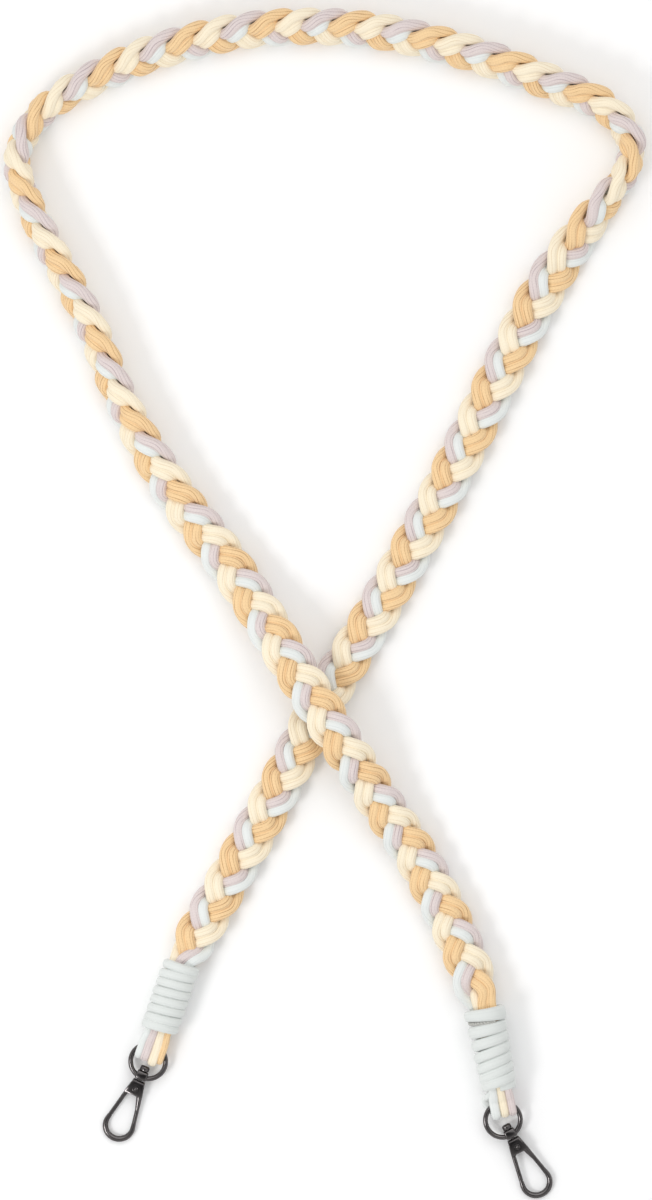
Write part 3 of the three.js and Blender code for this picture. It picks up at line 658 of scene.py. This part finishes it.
rivet = {"reach": 3.5, "radius": 0.75, "head": 1.15, "proud": 0.35, "edge": 0.06,
         "sunkRing": 0.33, "sunkDepth": 0.3, "rim": 0.3, "hollowEdge": 0.12, "hollow": 0.86,
         "dome": ((0.14, 1.1), (0.2, 1.06), (0.2, 1.03))}
gate = {"reach": 13.7, "tipGap": 0.25, "footGap": 0.3, "play": 0.3, "footLow": (-1.3, -1.5),
        "footHigh": (0.5, 1.1), "footMiddle": -0.2, "footEnd": 0.62, "footEdge": 0.2, "boreReach": 2}

plateEnd = plate["start"] + plate["length"]
plateHalf = plate["height"] / 2
pivot = plate["start"] + rivet["reach"]
bowlCentre = np.array([plate["start"] + bar["bowlReach"], 0])
bowlLine = bar["bowlRadius"] - bar["wire"] / 2
sideStart = np.array([plateEnd - bar["seat"], plate["endWidth"] / 2 - bar["sideWire"] / 2])
toCentre = bowlCentre - sideStart
centreFar = np.hypot(*toCentre)
sideAngle = math.atan2(toCentre[1], toCentre[0]) + math.asin(bowlLine / centreFar)
sideLength = math.sqrt(centreFar * centreFar - bowlLine * bowlLine)


def sidePoint(reach):
    # a point on the slanting side's middle line, reach mm along it from its start in the plate
    return sideStart + reach * np.array([math.cos(sideAngle), math.sin(sideAngle)])


def teardropLine():
    # the whole bar, from the plate's one corner round the bowl to the other, with its radius at each point
    side = [sidePoint(sideLength * k / bar["sideSteps"]) for k in range(bar["sideSteps"] + 1)]
    first = sideAngle + math.pi / 2
    turns = np.linspace(first, -first, bar["bowlSteps"])[1:-1]
    bowl = [bowlCentre + bowlLine * np.array([math.cos(a), math.sin(a)]) for a in turns]
    line = np.array(side + bowl + [p * [1, -1] for p in reversed(side)])
    start, thin = bar["bowlStart"], bar["sideWire"] / 2
    share = np.clip((line[:, 0] - bowlCentre[0] + start) / (bowlLine + start), 0, 1)
    return line, thin + (bar["bowlWire"] - thin) * share ** bar["growth"]


def swivelRing():
    bpy.ops.object.select_all(action="DESELECT")
    bpy.ops.mesh.primitive_torus_add(major_radius=ring["radius"] * mm, minor_radius=ring["wire"] * mm,
                                     major_segments=96, minor_segments=20)
    hoop = bpy.context.object
    width, half = boss["width"] / 2, boss["height"] / 2
    block = addBlock((boss["start"], -width, -half), (boss["end"], width, half))
    chosenFaces(block, lambda normal: normal.x > facing)
    bpy.ops.transform.resize(value=boss["outerEnd"])
    bpy.ops.object.mode_set(mode="OBJECT")
    chosenFaces(block, lambda normal: normal.x < -facing)
    bpy.ops.transform.resize(value=boss["innerEnd"])
    bpy.ops.object.mode_set(mode="OBJECT")
    softEdges(block, boss["edge"])
    bore = post["radius"] + post["clearance"]
    cutBy(block, addPin(bore, boss["start"] - overcut, boss["end"] + overcut, axis="X"))
    return [hoop, block]


def hookBar():
    line, girth = teardropLine()
    reach = np.hypot(line[:, 0] - pivot, line[:, 1])
    body = (line[:, 1] > 0) | (reach > gate["reach"] + gate["tipGap"])
    wire = addBar(line[body], girth[body], "bar")
    nose = np.flatnonzero(body & (line[:, 1] < 0))[-1]
    gateTip = np.flatnonzero((line[:, 1] < 0) & (reach < gate["reach"]))[0]
    onward = (line[gateTip] - line[nose]) / np.linalg.norm(line[gateTip] - line[nose])
    tongue = addBar([line[nose] - onward * tongueBar["into"], line[gateTip] - onward * tongueBar["gap"]],
                    [girth[nose] * tongueBar["girth"]] * 2, "tongue")
    return wire, tongue


def hookPlate():
    top, half = plate["topWidth"] / 2, plateHalf
    block = addBlock((plate["start"], -top, -half), (plateEnd, top, half))
    chosenFaces(block, lambda normal: normal.x > facing)
    widening = (plate["endWidth"] + plate["cornerSpare"]) / plate["topWidth"]
    bpy.ops.transform.resize(value=(1, widening, plate["endHeight"]))
    bpy.ops.object.mode_set(mode="OBJECT")
    chosenFaces(block, lambda normal: abs(normal.z) > facing)
    insetBy(plate["faceInset"])
    bpy.ops.transform.resize(value=(1, 1, plate["faceSwell"]))
    bpy.ops.object.mode_set(mode="OBJECT")
    for over in (1, -1):  # the sloping top edge, on both faces
        wedge = addBlock(*plate["wedge"])
        spot = (plate["start"] * mm + plate["slopeStart"] * mm, 0, over * (half - plate["slopeDepth"]) * mm)
        slope = Matrix.Rotation(-over * math.radians(plate["slopeAngle"]), 4, "Y")
        flip = Matrix.Rotation(math.radians(90 - 90 * over), 4, "X")
        wedge.data.transform(Matrix.Translation(spot) @ slope @ flip)
        cutBy(block, wedge)
    softEdges(block, plate["edge"], 2)
    slot = plate["slotHeight"] / 2
    cutBy(block, addBlock((plateEnd - plate["slotDepth"], -plate["endWidth"], -slot),
                          (plateEnd + overcut, plate["endWidth"] / 2 - bar["sideWire"], slot)))
    for face in (half, -half):  # a shallow ring sunk round the rivet's heads
        low, high = face - rivet["sunkDepth"], face + rivet["sunkDepth"]
        cutBy(block, addPin(rivet["head"] + rivet["sunkRing"], low, high, (pivot, 0)))
    return block


def hookShoulder():
    # the side bar thickens inwards to the plate's own corner, and its outer edge stays in line
    share = np.linspace(0, 1, shoulderBar["stations"])
    thin = bar["sideWire"] / 2
    radii = shoulderBar["radius"] - (shoulderBar["radius"] - thin) * share
    inward = sideAngle - math.pi / 2
    stepIn = (radii - thin + shoulderBar["stepIn"] * (1 - share))[:, None]
    places = np.array([sidePoint(along) for along in shoulderBar["length"] * share + shoulderBar["start"]])
    return addBar(places + stepIn * [math.cos(inward), math.sin(inward)], radii, "shoulder")


def hookRivet():
    reach = plateHalf + rivet["proud"]
    pin = addPin(rivet["head"], -reach, reach, (pivot, 0))
    chosenFaces(pin, lambda normal: abs(normal.z) > facing)
    insetBy(rivet["rim"])
    insetBy(rivet["hollowEdge"])
    bpy.ops.transform.resize(value=(1, 1, rivet["hollow"]))
    for step, rise in rivet["dome"]:
        insetBy(step)
        bpy.ops.transform.resize(value=(1, 1, rise))
    bpy.ops.object.mode_set(mode="OBJECT")
    softEdges(pin, rivet["edge"], 2)
    return pin


def hookPost():
    headStart = boss["start"] - post["clearance"] - post["headHeight"]
    stem = addPin(post["radius"], headStart + post["seat"], plate["start"] + post["seat"], axis="X")
    head = addPin(post["headRadius"], headStart, headStart + post["headHeight"], axis="X")
    chosenFaces(head, lambda normal: normal.x < -facing)
    bpy.ops.mesh.inset(thickness=post["headInset"] * mm)
    bpy.ops.transform.translate(value=(-post["headDome"] * mm, 0, 0))
    bpy.ops.object.mode_set(mode="OBJECT")
    softEdges(head, post["headEdge"])
    return stem, head


def snapHook():
    return [*hookBar(), hookPlate(), hookShoulder(), hookRivet(), *hookPost()]


def gateBar():
    line, girth = teardropLine()
    reach = np.hypot(line[:, 0] - pivot, line[:, 1])
    own = (line[:, 1] < 0) & (reach < gate["reach"]) & (line[:, 0] > plateEnd + gate["footGap"])
    wire = addBar(line[own], girth[own], "bar")
    thick = (plate["slotHeight"] - 2 * gate["play"]) / 2
    (back, low), (front, high) = gate["footLow"], gate["footHigh"]
    foot = addBlock((pivot + back, low, -thick), (plateEnd + front, high, thick))
    chosenFaces(foot, lambda normal: normal.x > facing)
    shift = bar["sideWire"] / 2 - plate["endWidth"] / 2 - gate["footMiddle"]
    bpy.ops.transform.translate(value=(0, shift * mm, 0))
    bpy.ops.transform.resize(value=(1, gate["footEnd"], 1))
    bpy.ops.object.mode_set(mode="OBJECT")
    softEdges(foot, gate["footEdge"], 2)
    cutBy(foot, addPin(rivet["radius"] + gate["play"], -gate["boreReach"], gate["boreReach"], (pivot, 0)))
    return [wire, foot]


for side, end in ends.items():
    for name, parts, body, node in (
            (f"swivel_ring_{side}", swivelRing(), "strap", f"ring_{side}"),
            (f"snap_hook_{side}", snapHook(), f"hook_{side}", f"hook_{side}"),
            (f"hook_gate_{side}", gateBar(), f"gate_{side}", f"gate_{side}")):
        piece = joined(name, parts)
        piece.data.transform(Matrix.Scale(mm, 4) @ hardwareMatrix(end) @ Matrix.Scale(1 / mm, 4))
        piece.data.materials.clear()
        piece.data.materials.append(gunmetal)
        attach(piece, body)
        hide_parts(node)
print("rings and hooks made")

# floor, light and camera, in metres
ground = {"size": 6, "height": -0.0002, "tone": 0.95, "roughness": 0.9}
bpy.ops.mesh.primitive_plane_add(size=ground["size"], location=(0, 0, ground["height"]))
floor = bpy.context.object
floor.name = "floor"
paper, tree, shader = newMaterial("palePaper")
shader.inputs["Base Color"].default_value = (ground["tone"], ground["tone"], ground["tone"], 1)
shader.inputs["Roughness"].default_value = ground["roughness"]
floor.data.materials.append(paper)

# how bright the studio is from the horizon (0) to straight above (1)
studio = {
    "strength": 0.8, "horizon": (0.0, (0.9, 0.9, 0.9, 1)), "above": (0.97, (0.10, 0.10, 0.105, 1)),
    "between": ((0.55, 1.0), (0.86, 0.85)),
}
world = bpy.data.worlds.new("studio")
bpy.context.scene.world = world
world.use_nodes = True
tree = world.node_tree
split = tree.nodes.new("ShaderNodeSeparateXYZ")
tree.links.new(tree.nodes.new("ShaderNodeTexCoord").outputs["Generated"], split.inputs[0])
ramp = tree.nodes.new("ShaderNodeValToRGB")
stops = ramp.color_ramp.elements
stops[0].position, stops[0].color = studio["horizon"]
stops[1].position, stops[1].color = studio["above"]
for place, tone in studio["between"]:
    stops.new(place).color = (tone, tone, tone, 1)
tree.links.new(split.outputs[2], ramp.inputs[0])
tree.links.new(ramp.outputs[0], tree.nodes["Background"].inputs[0])
tree.nodes["Background"].inputs[1].default_value = studio["strength"]

lights = [
    {"name": "topSoftbox", "at": (0.05, 0.4, 1.1), "size": 1.3, "power": 6},
    {"name": "lowSoftbox", "at": (-0.62, -0.52, 0.85), "size": 0.3, "power": 3.6},
]
for lamp in lights:
    data = bpy.data.lights.new(lamp["name"], "AREA")
    data.energy = lamp["power"]
    data.size = lamp["size"]
    holder = bpy.data.objects.new(lamp["name"], data)
    bpy.context.scene.collection.objects.link(holder)
    holder.location = lamp["at"]
    holder.rotation_euler = (-Vector(lamp["at"])).to_track_quat("-Z", "Y").to_euler()

# lens and sensor in mm, the rest in metres
view = {"lens": 200, "sensor": 36, "frameLength": 0.4632, "x": 0.0007, "y": 0.0017, "clip": (0.05, 20)}
cameraData = bpy.data.cameras.new("overhead")
cameraData.lens = view["lens"]
cameraData.sensor_width = view["sensor"]
cameraData.clip_start, cameraData.clip_end = view["clip"]
camera = bpy.data.objects.new("overhead", cameraData)
bpy.context.scene.collection.objects.link(camera)
camera.location = (view["x"], view["y"], view["frameLength"] * view["lens"] / view["sensor"])
bpy.context.scene.camera = camera
bpy.context.scene.view_settings.view_transform = "Standard"
print("stage set")
